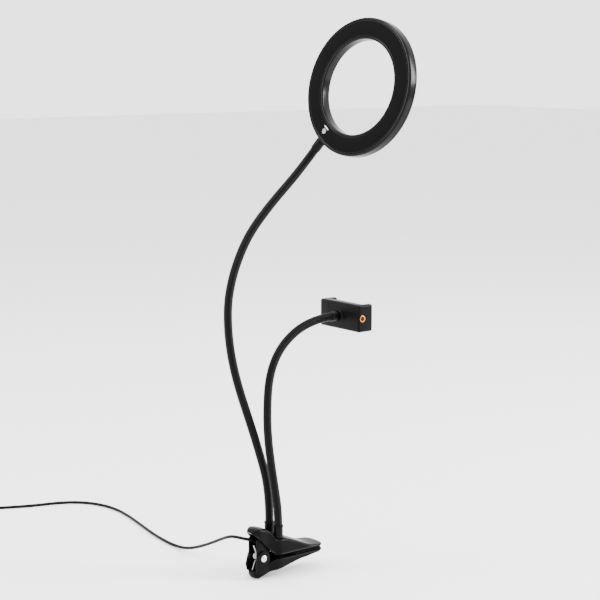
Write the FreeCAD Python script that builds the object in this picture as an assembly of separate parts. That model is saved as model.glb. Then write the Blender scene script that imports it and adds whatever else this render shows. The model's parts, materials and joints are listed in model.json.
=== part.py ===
"""Clip-on gooseneck ring light: a spring clamp carries a long gooseneck with an LED ring light and
a short gooseneck with a spring phone holder, and a USB cord with an inline remote feeds the light.

Frame: millimetres, +X the way the jaws, the light and the phone holder face, +Y across the clamp,
+Z up.  The origin is the middle of the clamp's mouth, halfway between the two jaw pads."""
import FreeCAD, Part
import math
import os
from FreeCAD import Matrix, Placement, Rotation, Vector

os.makedirs("parts", exist_ok=True)

# ---------------------------------------------------------------- driving dimensions
# Clamp
CLAMP_WIDTH = 36.0         # across the jaws
WAIST_HALF = 11.5          # half the width across the pivot and the handles
WALL = 2.2
JAW_TIP_X = 35.5
JAW_GAP = 2.4              # half the distance between the two shells at the jaws
PIVOT_X = -54.0            # the pin's centre line, at z = 0
PIN_RADIUS = 2.0
EAR_RADIUS = 9.0
EAR_THICK = 2.2
PLATFORM_Z = 22.5          # flat on the upper shell that carries both necks
SURFACE_Z = -26.0          # lowest point of the clamp, and the surface that the cord lies on
COVER_BACK_X = -42.6       # back of the wiring cover, where the cord comes out
LONG_FOOT = (-29.6, 10.4)  # plan position of the long neck
SHORT_FOOT = (-30.6, -9.0)  # plan position of the short neck

# Goosenecks
NECK_RADIUS = 5.3
NOSE_RADIUS = 5.0          # ball nose at the upper end of a link
CUP_RADIUS = 5.3           # cup that the nose turns in
NOSE_NECK = 2.4            # length of ball left bare below each joint
LONG_JOINTS = 8
SHORT_JOINTS = 5
FERRULE_HEIGHT = 15.5
STUD_RADIUS = 3.9          # threaded foot of a ferrule
NECK_FIT = 0.2            # clearance of a neck in its ferrules

# Ring head: placed by its centre, then turned, tilted down and rolled about its own axis
HEAD_CENTRE = Vector(69.7, -42.3, 570.3)
HEAD_TILT = 11.6
HEAD_TURN = 6.0
HEAD_ROLL = 38.5
RING_OUTER = 84.0
RING_INNER = 58.0
RING_THICK = 12.5
RING_WALL = 2.0
DIFFUSER_THICK = 2.0
COLLAR_LENGTH = 15.0
COLLAR_RADIUS = 6.0
LED_COUNT = 64

# Phone holder
HOLDER_BACK_X = 66.0
HOLDER_MID = (-8.0, 289.0)  # y, z of the middle of its back face
HOLDER_LENGTH = 76.0
HOLDER_HEIGHT = 34.0
HOLDER_BODY_THICK = 13.0
JAW_THICK = 8.3
JAW_REACH = 9.7
INSERT_OUTER = 4.2
INSERT_BORE = 2.55         # 1/4 inch tripod thread, drilled size
INSERT_DEPTH = 8.0

# Cord
CORD_RADIUS = 2.0
GROMMET_AT = (3.2, 12.8)   # y, z of the middle of the cord's exit from the wiring cover
COIL_MEAN_RADIUS = 22.0
COIL_HALF_WIDTH = 6.4
COIL_HEIGHT = 8.2
REMOTE_SIZE = (62.0, 20.0, 10.0)
BUTTON_RADIUS = 3.4
BUTTON_RISE = 1.2
PLUG_BODY = (26.0, 16.0, 8.0)
PLUG_SHELL = (12.0, 12.0, 4.5)

X_AXIS = Vector(1, 0, 0)
Y_AXIS = Vector(0, 1, 0)
Z_AXIS = Vector(0, 0, 1)


# ---------------------------------------------------------------- helpers
def save(shape, node):
    """Write one sub-part, in the row frame, as parts/NODE.step."""
    shape.exportStep("parts/" + node + ".step")


def box(x0, x1, y0, y1, z0, z1):
    return Part.makeBox(x1 - x0, y1 - y0, z1 - z0, Vector(x0, y0, z0))


def rod(radius, start, end):
    """Cylinder from one point to another."""
    start, end = Vector(start), Vector(end)
    return Part.makeCylinder(radius, (end - start).Length, start, end - start)


def tube(outer, inner, start, end):
    return rod(outer, start, end).cut(rod(inner, start, end))


def along_y(points, y0, y1):
    """Extrude a closed (x, z) outline from y0 to y1."""
    corners = [Vector(x, y0, z) for x, z in points]
    face = Part.Face(Part.makePolygon(corners + corners[:1]))
    return face.extrude(Vector(0, y1 - y0, 0))


def rounded_block(x0, x1, y0, y1, z0, z1, radius, axis=Z_AXIS):
    """Box whose four edges along the axis are rounded."""
    block = box(x0, x1, y0, y1, z0, z1)
    edges = [e for e in block.Edges if e.tangentAt(e.FirstParameter).cross(axis).Length < 1e-6]
    return block.makeFillet(radius, edges)


def ring(outer, inner, x0, x1):
    """Flat ring about the X axis."""
    return tube(outer, inner, (x0, 0, 0), (x1, 0, 0))


# ---------------------------------------------------------------- clamp
UPPER_OUTLINE = [(JAW_TIP_X, JAW_GAP), (JAW_TIP_X, 4.0), (22, 5.2), (15, 6.4), (-10, 17.4),
                 (-20, 21.2), (-24, PLATFORM_Z), (-37.8, PLATFORM_Z), (-41.2, 29.6), (-45.2, 34.0),
                 (-52.5, 37.1), (-60.5, 38.4), (-66.4, 37.0), (-68.0, 33.0), (-40, 3.4), (-38, JAW_GAP)]
UPPER_HOLLOW = [(-6, -2), (-6, 13.2), (-20.6, 18.6), (-24.8, 20.1), (-39.0, 20.1), (-43.0, 28.4),
                (-46.4, 31.7), (-53.0, 34.7), (-60.4, 36.0), (-64.8, 34.9), (-65.6, 33.0), (-65.6, -2)]
LOWER_OUTLINE = [(JAW_TIP_X, -JAW_GAP), (JAW_TIP_X, -4.0), (31, -5.4), (11, -9.2), (-2, -10.2),
                 (-43, -19.4), (-55.5, -24.0), (-61, SURFACE_Z), (-64.6, -24.6), (-66, -21.0),
                 (-66, -17.0), (-40, -3.4), (-38, -JAW_GAP)]
LOWER_HOLLOW = [(-6, 2), (-6, -8.2), (-42.4, -17.0), (-55.4, -21.6), (-61, -23.4),
                (-63.6, -20.6), (-63.6, 2)]
TIP_ROUND = 10.0           # corner radii of the shells in plan
TAIL_ROUND = 9.5
SHOULDER_X = -35.0         # the shells narrow from here, behind the jaws,
WAIST_X = -45.0            # to here, and the handles keep the waist's width
WAIST_ROUND = 8.0


# Plates that carry the ears, measured from the pivot; the upper ears sit inside the side walls
# and a short bridge joins them to the walls.
UPPER_WEB = [(-8.5, 2.5), (8.5, 2.5), (11, 10), (4, 19), (-4, 25), (-9, 24)]
UPPER_BRIDGE = [(11, 8), (4, 14.5), (-4, 22), (-4, 25), (4, 19), (11, 10)]
LOWER_WEB = [(-8.5, -2.5), (8.5, -2.5), (10, -9), (6, -17), (-10, -18), (-12, -10)]


def around_pivot(points):
    return [(PIVOT_X + u, w) for u, w in points]


def plan_form(tail_x, inset):
    """Tall block with the shells' outline in plan, all round smaller by an inset."""
    half, waist = CLAMP_WIDTH / 2 - inset, WAIST_HALF - inset
    front, back = JAW_TIP_X - inset, tail_x + inset
    corners = [(front, half, TIP_ROUND - inset), (SHOULDER_X, half, WAIST_ROUND),
               (WAIST_X, waist, WAIST_ROUND), (back, waist, TAIL_ROUND - inset)]
    outline = [Vector(x, y, -60) for x, y, _ in corners] + [Vector(x, -y, -60) for x, y, _ in corners[::-1]]
    block = Part.Face(Part.makePolygon(outline + outline[:1])).extrude(Vector(0, 0, 120))
    for x, y, radius in corners:
        uprights = [e for e in block.Edges if e.Length > 100 and abs(e.BoundBox.XMin - x) < 1e-3
                    and abs(abs(e.BoundBox.YMin) - y) < 1e-3]
        block = block.makeFillet(radius, uprights)
    return block


def clamp_shell(outline, hollow, tail_x, ear_side, web, bridge=None):
    """One half of the clamp: a folded shell, open towards the other half, with two pivot ears."""
    half = CLAMP_WIDTH / 2
    outside = along_y(outline, -half, half).common(plan_form(tail_x, 0.0))
    inside = along_y(hollow, WALL - half, half - WALL).common(plan_form(tail_x, WALL))
    shell = outside.cut(inside)
    relief = rod(EAR_RADIUS + 0.6, (PIVOT_X, -half - 1, 0), (PIVOT_X, half + 1, 0))
    shell = shell.cut(relief)
    for side in (-1, 1):
        near, far = sorted((side * ear_side, side * (ear_side - EAR_THICK)))
        ear = rod(EAR_RADIUS, (PIVOT_X, near, 0), (PIVOT_X, far, 0))
        shell = shell.fuse(ear.fuse(along_y(around_pivot(web), near, far)))
        if bridge:
            near, far = sorted((side * (ear_side - 0.2), side * (WAIST_HALF - WALL + 0.2)))
            shell = shell.fuse(along_y(around_pivot(bridge), near, far))
    shell = shell.cut(rod(PIN_RADIUS + 0.05, (PIVOT_X, -half - 1, 0), (PIVOT_X, half + 1, 0)))
    return shell.removeSplitter()


def jaw_pad(root):
    """Ribbed rubber pad that lines one jaw."""
    half = CLAMP_WIDTH / 2
    low, high = sorted((root * 0.3, root * JAW_GAP))
    pad = rounded_block(-12, JAW_TIP_X - 2, 3 - half, half - 3, low, high, 5.0)
    for step in range(10):
        groove_x = -8.5 + 4.0 * step
        pad = pad.cut(box(groove_x, groove_x + 1.4, -half, half, -0.9, 0.9))
    return pad


def clamp():
    half = CLAMP_WIDTH / 2
    upper = clamp_shell(UPPER_OUTLINE, UPPER_HOLLOW, -68.0, WAIST_HALF - WALL - 0.3, UPPER_WEB,
                        UPPER_BRIDGE)
    for foot in (LONG_FOOT, SHORT_FOOT):
        x, y = foot
        upper = upper.cut(rod(STUD_RADIUS + 0.1, (x, y, PLATFORM_Z - 6), (x, y, 40)))
    lower = clamp_shell(LOWER_OUTLINE, LOWER_HOLLOW, -66.0, WAIST_HALF, LOWER_WEB)
    save(upper, "clamp_upper_shell")
    save(lower, "clamp_lower_shell")
    save(jaw_pad(1), "upper_jaw_pad")
    save(jaw_pad(-1), "lower_jaw_pad")

    pin = rod(PIN_RADIUS, (PIVOT_X, -WAIST_HALF - 0.4, 0), (PIVOT_X, WAIST_HALF + 0.4, 0))
    for side in (-1, 1):
        head = Part.makeCone(4.4, 3.2, 1.4, Vector(PIVOT_X, side * (WAIST_HALF + 0.4), 0),
                             Vector(0, side, 0))
        pin = pin.fuse(head)
    save(pin, "pivot_pin")

    spring = tube(5.4, 3.4, (PIVOT_X, -6, 0), (PIVOT_X, 6, 0))
    leg = rod(0.9, (PIVOT_X - 4.3, -5, 1), (PIVOT_X - 11.5, -5, 18))
    save(spring.fuse(leg), "torsion_spring")


def base_fittings():
    """Ferrules, their nuts, the wiring cover under the platform, and the cord's grommet."""
    for foot, node in ((LONG_FOOT, "long"), (SHORT_FOOT, "short")):
        x, y = foot
        top = PLATFORM_Z + FERRULE_HEIGHT
        body = rod(6.1, (x, y, PLATFORM_Z), (x, y, top))
        body = body.fuse(rod(6.7, (x, y, PLATFORM_Z), (x, y, PLATFORM_Z + 2.6)))
        body = body.fuse(rod(6.6, (x, y, top - 2.2), (x, y, top)))
        body = body.fuse(rod(STUD_RADIUS, (x, y, PLATFORM_Z - 6.0), (x, y, PLATFORM_Z)))
        body = body.cut(rod(2.0, (x, y, PLATFORM_Z - 7), (x, y, top + 1)))
        body = body.cut(rod(NECK_RADIUS + NECK_FIT, (x, y, top - 10), (x, y, top + 1)))
        save(body, node + "_base_ferrule")
        nut = Part.makePolygon([Vector(x + 5.3 * math.cos(math.radians(60 * k + 30)),
                                       y + 5.3 * math.sin(math.radians(60 * k + 30)),
                                       PLATFORM_Z - 5.6) for k in range(7)])
        nut = Part.Face(nut).extrude(Vector(0, 0, 3.0))
        save(nut.cut(rod(STUD_RADIUS, (x, y, 10), (x, y, 30))), node + "_ferrule_nut")

    low, high, boss_top = 6.4, PLATFORM_Z - 6.2, PLATFORM_Z - 2.9
    cover = rounded_block(COVER_BACK_X, -23.6, -10.4, 10.4, low, high, 2.5)
    cover = cover.cut(box(COVER_BACK_X + 1.6, -25.2, -8.8, 8.8, low + 1.6, high + 1))
    cover = cover.cut(rod(2.6, (COVER_BACK_X - 1, *GROMMET_AT), (COVER_BACK_X + 3, *GROMMET_AT)))
    screws = []
    for x, y in ((-40.0, -5.0), (-26.4, 0.0)):
        cover = cover.fuse(rod(2.3, (x, y, low), (x, y, boss_top)))
        cover = cover.cut(rod(1.0, (x, y, low - 1), (x, y, boss_top + 1)))
        head = rod(1.9, (x, y, low - 1.1), (x, y, low))
        screws.append(rod(1.0, (x, y, low), (x, y, boss_top)).fuse(head))
    save(cover, "wiring_cover")
    save(Part.makeCompound(screws), "cover_screws")


# ---------------------------------------------------------------- goosenecks
LONG_ROUTE = [(-29.6, 10.4, PLATFORM_Z + FERRULE_HEIGHT - 10), (-29.7, 10.2, 45), (-31.0, 9.6, 63),
              (-35.0, 8.8, 90), (-44.0, 8.2, 121), (-59.9, 8, 167), (-75.7, 8, 211), (-87.6, 8, 256),
              (-91.8, 8, 293), (-90.3, 9, 319), (-82.8, 11, 346), (-69, 15, 372), (-49.1, 21, 396.5),
              (-24.3, 27, 418.5), (1.5, 31, 439.5), (25, 30, 461)]
SHORT_ROUTE = [(-30.6, -9.0, PLATFORM_Z + FERRULE_HEIGHT - 10), (-30.8, -9.0, 50), (-35.0, -8.6, 83.5),
               (-42.6, -8, 132), (-45.5, -8, 162), (-45.5, -8, 192), (-42.4, -8, 221),
               (-36.4, -8, 239.5), (-26.2, -8, 256), (-11.3, -8, 270), (7.8, -8, 280.6),
               (30.4, -8, 286.8), (HOLDER_BACK_X - 14.0, -8, 289)]


def head_axes():
    """Front, side and up directions of the ring; up is the way that the long neck points."""
    tilt, turn, roll = (math.radians(v) for v in (HEAD_TILT, HEAD_TURN, HEAD_ROLL))
    front = Vector(math.cos(tilt) * math.cos(turn), math.cos(tilt) * math.sin(turn), -math.sin(tilt))
    level = Vector(math.sin(turn), -math.cos(turn), 0)
    rise = level.cross(front) * -1
    rise = rise if rise.z > 0 else rise * -1
    up = rise * math.cos(roll) + level * math.sin(roll)
    return front, up.cross(front), up


def neck_curve(route, end, end_direction):
    """Smooth centre line through the route, upright at its foot and along a direction at its end."""
    points = [Vector(*p) for p in route] + [end]
    curve = Part.BSplineCurve()
    curve.interpolate(Points=points, InitialTangent=Z_AXIS, FinalTangent=end_direction)
    return curve.toShape()


def joint_distances(first, last, count):
    """Distances along the neck of its joints, evenly spaced."""
    return [first + (last - first) * k / (count - 1) for k in range(count)]


def neck_link(line, start, end, cup, nose):
    """One rigid stretch of a neck: a bent rod with a cup below and a ball nose above."""
    stop = end - (NOSE_NECK if nose else 0.0)
    first, middle, last = (line.valueAt(line.getParameterByLength(s))
                           for s in (start, (start + stop) / 2, stop))
    sag = middle.distanceToLine(first, last - first)
    path = Part.LineSegment(first, last) if sag < 0.05 else Part.Arc(first, middle, last)
    edge = path.toShape()
    way = edge.tangentAt(edge.FirstParameter)
    section = Part.Wire(Part.makeCircle(NECK_RADIUS, first, way))
    link = Part.Wire(edge).makePipeShell([section], True, False)
    if cup:
        link = link.cut(Part.makeSphere(CUP_RADIUS + 0.35, first, way))
    if nose:
        parameter = line.getParameterByLength(end)
        nose_ball = Part.makeSphere(NOSE_RADIUS, line.valueAt(parameter), edge.tangentAt(edge.LastParameter))
        link = link.fuse(nose_ball)
    return link


def neck(node, line, joints):
    """All links of one neck; prints each joint's centre and the directions that it turns about."""
    stops = [0.0] + joints + [line.Length]
    for k in range(len(stops) - 1):
        first, last = k == 0, k == len(stops) - 2
        link = neck_link(line, stops[k], stops[k + 1], not first, not last)
        save(link, node + "_neck_link_" + str(k))
    for k, distance in enumerate(joints):
        parameter = line.getParameterByLength(distance)
        centre, tangent = line.valueAt(parameter), line.tangentAt(parameter)
        side = (Y_AXIS - tangent * tangent.dot(Y_AXIS)).normalize()
        sway = side.cross(tangent).normalize()
        print("JOINT", node, k, *[round(v, 4) for v in (*centre, *side, *sway)])


def necks():
    up = head_axes()[2]
    end = HEAD_CENTRE - up * (RING_OUTER + COLLAR_LENGTH - 8.0)
    line = neck_curve(LONG_ROUTE, end, up)
    neck("long", line, joint_distances(34.0, line.Length - 48.0, LONG_JOINTS))
    print("long neck length", round(line.Length, 1))
    end = Vector(HOLDER_BACK_X - 6.0, *HOLDER_MID)
    line = neck_curve(SHORT_ROUTE, end, X_AXIS)
    neck("short", line, joint_distances(34.0, line.Length - 41.0, SHORT_JOINTS))
    print("short neck length", round(line.Length, 1))


# ---------------------------------------------------------------- ring head
def head_placement():
    front, side, up = head_axes()
    c = HEAD_CENTRE
    return Placement(Matrix(front.x, side.x, up.x, c.x, front.y, side.y, up.y, c.y,
                            front.z, side.z, up.z, c.z, 0, 0, 0, 1))


def turned_ring(profile):
    """Turn an (x, radius) outline about the ring's axis."""
    points = [Vector(x, 0, r) for x, r in profile]
    face = Part.Face(Part.makePolygon(points + points[:1]))
    return face.revolve(Vector(0, 0, 0), X_AXIS, 360)


def ring_head():
    place = head_placement()
    back, front = -RING_THICK / 2, RING_THICK / 2
    lip = front - DIFFUSER_THICK

    def save_in_head(shape, node):
        shape.Placement = place.multiply(shape.Placement)
        save(shape, node)

    outer, inner, wall = RING_OUTER, RING_INNER, RING_WALL
    housing = turned_ring([(back, outer - 3.4), (back + 1.0, outer - 2.6), (back + 1.0, outer - 1.8),
                           (back + 3.4, outer), (front, outer), (front, outer - wall),
                           (back + wall + 1.0, outer - wall), (back + wall, outer - wall - 3.0),
                           (back + wall, inner + wall + 3.0), (back + wall + 1.0, inner + wall),
                           (front, inner + wall), (front, inner), (back + 3.0, inner),
                           (back + 1.0, inner + 1.4), (back + 1.0, inner + 2.0), (back, inner + 2.6)])
    entry = rod(3.0, (0, 0, -outer - 1), (0, 0, -outer + wall + 2))
    save_in_head(housing.cut(entry), "ring_rear_housing")
    gap = 0.2
    save_in_head(ring(outer - wall - gap, inner + wall + gap, lip, front - 0.3), "ring_diffuser")
    board_x = back + wall + 3.2
    save_in_head(ring(outer - 7.0, inner + wall + 1.0, board_x, board_x + 1.6), "ring_led_board")
    mid = (outer + inner) / 2
    leds = []
    for k in range(LED_COUNT):
        angle = 360.0 * k / LED_COUNT
        radius = mid + (5.0 if k % 2 else -5.0)
        chip = box(board_x + 1.6, board_x + 3.0, -1.75, 1.75, radius - 1.4, radius + 1.4)
        chip.rotate(Vector(0, 0, 0), X_AXIS, angle)
        leds.append(chip)
    save_in_head(Part.makeCompound(leds), "ring_leds")
    bosses = []
    for k in range(6):
        post = tube(2.4, 1.0, (back + wall, 0, mid), (board_x, 0, mid))
        post.rotate(Vector(0, 0, 0), X_AXIS, 30 + 60 * k)
        bosses.append(post)
    save_in_head(Part.makeCompound(bosses), "ring_standoffs")
    collar = tube(COLLAR_RADIUS, NECK_RADIUS + 0.1, (0, 0, -outer - COLLAR_LENGTH), (0, 0, -outer - 7.0))
    collar = collar.fuse(tube(COLLAR_RADIUS, 2.0, (0, 0, -outer - 7.0), (0, 0, -outer + 0.1)))
    collar = collar.fuse(tube(2.9, 2.0, (0, 0, -outer), (0, 0, -outer + wall + 4.2)))
    save_in_head(collar.cut(ring(outer, inner, back, front).cut(entry)), "ring_collar")
    nut = tube(3.6, 2.95, (0, 0, -outer + wall + 0.9), (0, 0, -outer + wall + 3.6))
    save_in_head(nut, "ring_collar_nut")


# ---------------------------------------------------------------- phone holder
def phone_holder():
    y_mid, z_mid = HOLDER_MID
    back, front = HOLDER_BACK_X, HOLDER_BACK_X + HOLDER_BODY_THICK
    y0, y1 = y_mid - HOLDER_LENGTH / 2, y_mid + HOLDER_LENGTH / 2
    z0, z1 = z_mid - HOLDER_HEIGHT / 2, z_mid + HOLDER_HEIGHT / 2
    reach = front + JAW_REACH
    split = y1 - 18.0          # the sliding jaw's sleeve covers the body beyond this

    body = rounded_block(back, front, y0, split, z0, z1, 2.6, Y_AXIS)
    jaw = rounded_block(front - 4, reach, y0, y0 + JAW_THICK, z0, z1, 2.6, Y_AXIS)
    body = body.fuse(jaw).cut(box(back + 2.2, front - 2.2, y0 + 12, split + 1, z0 + 2.4, z1 - 2.4))
    body = body.cut(rod(6.2, (back - 1, y_mid, z_mid), (back + 3, y_mid, z_mid)))
    body = body.cut(rod(INSERT_OUTER, (back + 6.4, y0 - 1, z_mid), (back + 6.4, y0 + INSERT_DEPTH, z_mid)))
    body = body.removeSplitter()
    save(body, "holder_body")

    mouth, floor = (back + 6.4, y0, z_mid), (back + 6.4, y0 + INSERT_DEPTH, z_mid)
    save(tube(INSERT_OUTER, INSERT_BORE, mouth, floor), "tripod_insert")

    slider = rounded_block(back, front, split + 0.4, y1, z0, z1, 2.6, Y_AXIS)
    slider = slider.fuse(rounded_block(front - 4, reach, y1 - JAW_THICK, y1, z0, z1, 2.6, Y_AXIS))
    tongue = box(back + 3.0, front - 3.0, y_mid - 4.0, split + 1.0, z0 + 3.4, z1 - 3.4)
    slider = slider.fuse(tongue)
    for dz in (-9.0, 9.0):
        slider = slider.cut(rod(2.6, (back + 6.5, y_mid - 5, z_mid + dz), (back + 6.5, y1 - 4, z_mid + dz)))
    save(slider.removeSplitter(), "sliding_jaw")

    rods = [rod(1.5, (back + 6.5, y0 + 12.0, z_mid + dz), (back + 6.5, y1 - 6, z_mid + dz))
            for dz in (-9.0, 9.0)]
    save(Part.makeCompound(rods), "guide_rods")
    springs = [tube(2.3, 1.7, (back + 6.5, y0 + 12.2, z_mid + dz), (back + 6.5, y_mid - 4.6, z_mid + dz))
               for dz in (-9.0, 9.0)]
    save(Part.makeCompound(springs), "jaw_springs")

    pads = (("fixed_jaw_pad", y0 + JAW_THICK, y0 + JAW_THICK + 1.4),
            ("sliding_jaw_pad", y1 - JAW_THICK - 1.4, y1 - JAW_THICK))
    for node, near, far in pads:
        pad = box(front + 0.4, reach - 1.6, near, far, z0 + 3, z1 - 3)
        for k in range(6):
            groove_z = z0 + 5.4 + 4.4 * k
            low, high = (near + 0.8, far + 1) if node == "fixed_jaw_pad" else (near - 1, far - 0.8)
            pad = pad.cut(box(front, reach, low, high, groove_z, groove_z + 1.4))
        save(pad, node)
    rest = rounded_block(front, front + 0.8, y0 + JAW_THICK + 2.4, split - 2, z0 + 3, z1 - 3, 2.0, X_AXIS)
    save(rest, "back_pad")

    socket = tube(6.1, NECK_RADIUS + 0.1, (back - 14.0, y_mid, z_mid), (back - 5.6, y_mid, z_mid))
    socket = socket.fuse(rod(7.4, (back - 5.6, y_mid, z_mid), (back, y_mid, z_mid)))
    socket = socket.fuse(rod(6.1, (back, y_mid, z_mid), (back + 2.2, y_mid, z_mid)))
    save(socket, "holder_socket")
    return y0, z_mid


# ---------------------------------------------------------------- cord
CORD_Z = SURFACE_Z + CORD_RADIUS
CORD_ROUTE = [(-49.6, 3.2, 16.4), (-58.4, 3.2, 20.3), (-66.8, 6.0, 22.8), (-73, 13.8, 24.2), (-75.4, 25, 23.6),
              (-75, 37, 19.6), (-72.6, 53, 12.6), (-70.8, 72, 3.6), (-69.6, 92, -5.4), (-69.2, 112, -13.6),
              (-69.8, 131, -19.8), (-69.4, 150, -23.4), (-70.2, 174, CORD_Z), (-66, 216, CORD_Z),
              (-56.4, 264, CORD_Z), (-47, 312, CORD_Z), (-43, 352, CORD_Z), (-49, 387, CORD_Z),
              (-66, 414, CORD_Z), (-92, 430, CORD_Z), (-124, 438, CORD_Z), (-160, 453, CORD_Z),
              (-190, 470, CORD_Z)]
TAIL_ROUTE = [(0, 0), (14, 1.5), (30, 6), (46, 15), (58, 28)]     # from the remote's outlet to the coil
COIL_OUTER_TURN = COIL_MEAN_RADIUS + COIL_HALF_WIDTH - CORD_RADIUS
PLUG_RUN = [(0, 0, 4.1), (-16, 0.6, 3.6), (-32, -2.4, 1.2), (-47, -8, 0)]  # from the coil's top turn


def arc_path(points):
    """Straight runs joined by tangent arcs; each arc is as large as its two runs allow."""
    points = [Vector(*p) for p in points]
    edges, radii, start = [], [], points[0]
    for before, corner, after in zip(points, points[1:], points[2:]):
        into, out = (corner - before), (after - corner)
        half_turn = into.getAngle(out) / 2
        setback = 0.45 * min(into.Length, out.Length)
        radii.append(setback / math.tan(half_turn))
        into.normalize()
        out.normalize()
        first, last = corner - into * setback, corner + out * setback
        bisector = (out - into).normalize()
        centre = corner + bisector * (radii[-1] / math.cos(half_turn))
        middle = centre - bisector * radii[-1]
        edges += [Part.LineSegment(start, first).toShape(), Part.Arc(first, middle, last).toShape()]
        start = last
    edges.append(Part.LineSegment(start, points[-1]).toShape())
    return Part.Wire(edges), radii


def cord_tube(points, node):
    path, radii = arc_path(points)
    direction = Vector(*points[1]) - Vector(*points[0])
    section = Part.Wire(Part.makeCircle(CORD_RADIUS, Vector(*points[0]), direction))
    cord = path.makePipeShell([section], True, False)
    ideal = math.pi * CORD_RADIUS ** 2 * path.Length
    print(node, "length", round(path.Length, 1), "radii", [round(r, 1) for r in radii],
          "volume ratio", round(cord.Volume / ideal, 4))
    save(cord, node)


def in_plan(local, origin, degrees):
    """Points in a plan frame at an origin, turned by an angle; a third value is a height above the cord."""
    turn = math.radians(degrees)
    return [(origin[0] + p[0] * math.cos(turn) - p[1] * math.sin(turn),
             origin[1] + p[0] * math.sin(turn) + p[1] * math.cos(turn),
             CORD_Z + (p[2] if len(p) > 2 else 0.0)) for p in local]


def heading(points):
    """Direction in plan, in degrees, of the last run of a route."""
    return math.degrees(math.atan2(points[-1][1] - points[-2][1], points[-1][0] - points[-2][0]))


def save_at(pieces, origin, degrees):
    """Place pieces that are modelled along X from the origin, and save each one."""
    place = Placement(Vector(origin[0], origin[1], 0), Rotation(Z_AXIS, degrees))
    for shape, node in pieces:
        shape.Placement = place.multiply(shape.Placement)
        save(shape, node)


def remote(origin, degrees):
    """Inline remote: two shells, a board and three buttons, the middle of its inlet at the origin."""
    length, width, height = REMOTE_SIZE
    seam = SURFACE_Z + height * 0.45
    top = SURFACE_Z + height
    whole = rounded_block(0, length, -width / 2, width / 2, SURFACE_Z, top, 6.0)
    inside = rounded_block(1.6, length - 1.6, 1.6 - width / 2, width / 2 - 1.6,
                           SURFACE_Z + 1.4, top - 1.4, 4.6)
    shell = whole.cut(inside)
    lower = shell.common(box(-1, length + 1, -width, width, SURFACE_Z - 1, seam))
    upper = shell.common(box(-1, length + 1, -width, width, seam, top + 1))
    places = [length * f for f in (0.25, 0.5, 0.75)]
    for x in places:
        upper = upper.cut(rod(BUTTON_RADIUS + 0.25, (x, 0, seam), (x, 0, top + 1)))
    board = box(7, length - 7, 4 - width / 2, width / 2 - 4, seam - 1.2, seam)
    pieces = [(lower, "remote_lower_shell"), (upper, "remote_upper_shell"), (board, "remote_board")]
    for x, name in zip(places, ("power", "dimmer", "colour")):
        cap = rod(BUTTON_RADIUS, (x, 0, seam + 0.8), (x, 0, top + BUTTON_RISE))
        cap = cap.fuse(rod(BUTTON_RADIUS + 0.9, (x, 0, seam + 1.6), (x, 0, seam + 2.6)))
        pieces.append((cap, "remote_" + name + "_button"))
    save_at(pieces, origin, degrees)


def usb_plug(origin, degrees):
    """USB-A plug: a moulded grip, a folded metal shell and its tongue."""
    length, width, height = PLUG_BODY
    reach, shell_width, shell_height = PLUG_SHELL
    middle = SURFACE_Z + height / 2
    grip = rounded_block(0, length, -width / 2, width / 2, SURFACE_Z, SURFACE_Z + height, 2.4, X_AXIS)
    shell = box(length, length + reach, -shell_width / 2, shell_width / 2,
                middle - shell_height / 2, middle + shell_height / 2)
    shell = shell.cut(box(length + 0.4, length + reach + 1, 0.35 - shell_width / 2, shell_width / 2 - 0.35,
                          middle - shell_height / 2 + 0.35, middle + shell_height / 2 - 0.35))
    tongue = box(length + 0.4, length + reach - 0.8, 0.4 - shell_width / 2, shell_width / 2 - 0.4,
                 middle, middle + 1.8)
    save_at([(grip, "usb_plug_grip"), (shell, "usb_plug_shell"), (tongue, "usb_plug_tongue")],
            origin, degrees)
    face = in_plan([(length + reach, 0, middle - CORD_Z)], origin, degrees)[0]
    print("MOUNT usb_plug", *[round(v, 3) for v in face], "direction", round(degrees, 3))


def cord():
    start = Vector(*CORD_ROUTE[0])
    root = Vector(COVER_BACK_X, *GROMMET_AT)
    grommet = rod(3.4, root, root - X_AXIS * 1.6).fuse(rod(2.6, root, root + X_AXIS * 2.4))
    grommet = grommet.fuse(Part.makeCone(2.9, 2.4, (start - root).Length, root, start - root))
    save(grommet, "cord_grommet")
    cord_tube(CORD_ROUTE, "usb_cord")

    turn = heading(CORD_ROUTE)
    remote(CORD_ROUTE[-1], turn)
    outlet = in_plan([(REMOTE_SIZE[0], 0)], CORD_ROUTE[-1], turn)[0]
    cord_tube(in_plan(TAIL_ROUTE, outlet, turn), "usb_cord_tail")
    tail_turn = math.radians(heading(TAIL_ROUTE))
    middle = (TAIL_ROUTE[-1][0] - COIL_OUTER_TURN * math.sin(tail_turn),
              TAIL_ROUTE[-1][1] + COIL_OUTER_TURN * math.cos(tail_turn))
    centre = in_plan([middle], outlet, turn)[0]
    coil = tube(COIL_MEAN_RADIUS + COIL_HALF_WIDTH, COIL_MEAN_RADIUS - COIL_HALF_WIDTH,
                (centre[0], centre[1], SURFACE_Z), (centre[0], centre[1], SURFACE_Z + COIL_HEIGHT))
    save(coil, "usb_cord_coil")
    run = [(middle[0] + u, middle[1] + COIL_OUTER_TURN - 2.4 + v, h) for u, v, h in PLUG_RUN]
    cord_tube(in_plan(run, outlet, turn), "usb_cord_end")
    usb_plug(in_plan(run, outlet, turn)[-1], turn + heading(run))
    print("coil centre", [round(v, 2) for v in centre], "outlet", [round(v, 2) for v in outlet])


if __name__ == "__main__":
    clamp()
    base_fittings()
    necks()
    ring_head()
    phone_holder()
    cord()
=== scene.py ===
"""Clip-on gooseneck ring light: the looks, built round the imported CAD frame.

Everything is in metres, in the CAD's own frame: +X the way the jaws, the light and the phone holder
face, +Y across the clamp, +Z up, with the origin in the middle of the clamp's mouth."""
import json
import math

import bmesh
import bpy
import numpy as np
from mathutils import Matrix, Vector


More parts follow.
